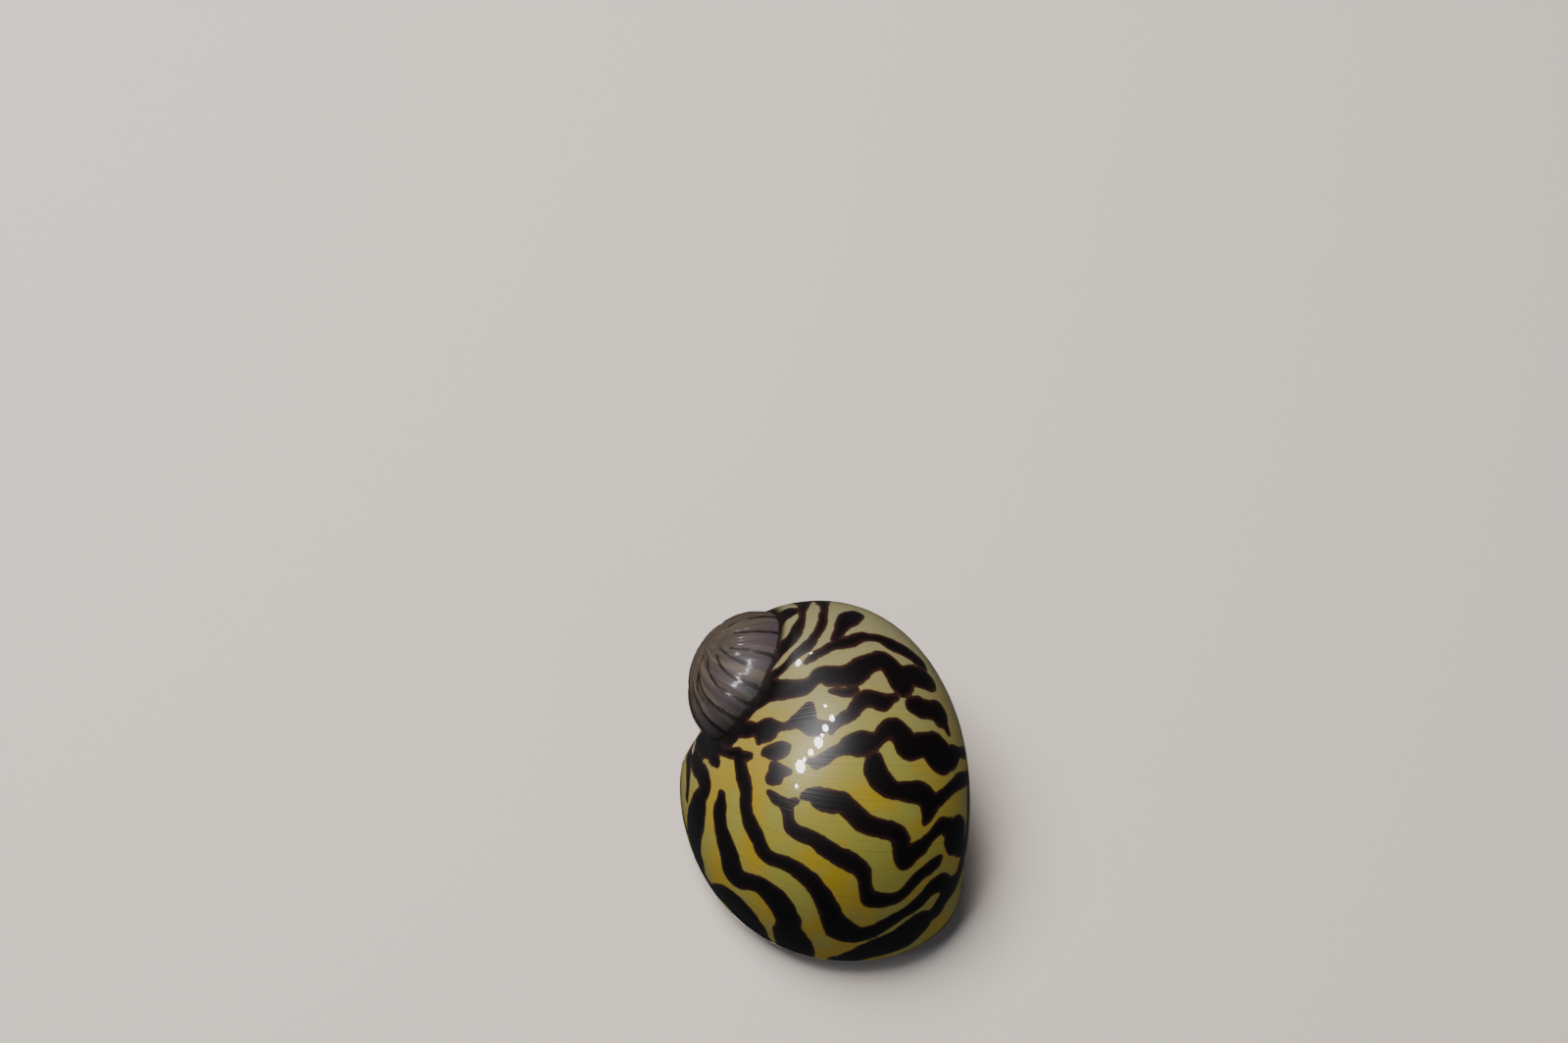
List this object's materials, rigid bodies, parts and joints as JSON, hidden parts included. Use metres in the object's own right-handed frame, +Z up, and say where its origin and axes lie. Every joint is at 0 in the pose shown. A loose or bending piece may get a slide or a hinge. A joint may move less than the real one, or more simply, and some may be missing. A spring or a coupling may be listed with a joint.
{
  "type": "nerite snail",
  "caption": "Life-size freshwater nerite snail at rest: round low-spired shell with a level lip over a broad flat foot, head drawn in under the front of the lip.",
  "frame": {"origin": "on the floor, under the middle of the whole animal's bounding box", "axes": "+Z up; the head end faces -Y, the animal's right is -X, and the spire leans back over the right, towards -X and +Y"},
  "size_m": [0.019, 0.0226, 0.0151],
  "materials": {
    "striped_shell": "wet, glossy, olive-yellow with near-black zigzag bands",
    "worn_shell": "wet, worn, grey-mauve",
    "porcelain": "smooth, porcelain-like",
    "lid": "horny, dark, with fine growth lines",
    "skin": "wet, dark, finely mottled",
    "eye": "wet, black, on a short pale stalk"
  },
  "bodies": {
    "root": {"shell_body_whorl": "striped_shell", "shell_spire": "worn_shell", "shell_columellar_deck": "porcelain", "operculum": "lid", "foot": "skin", "mantle_edge": "skin", "head": "skin", "snout": "skin", "tentacle_left": "skin", "tentacle_right": "skin", "eye_left": "eye", "eye_right": "eye"}
  },
  "joints": []
}
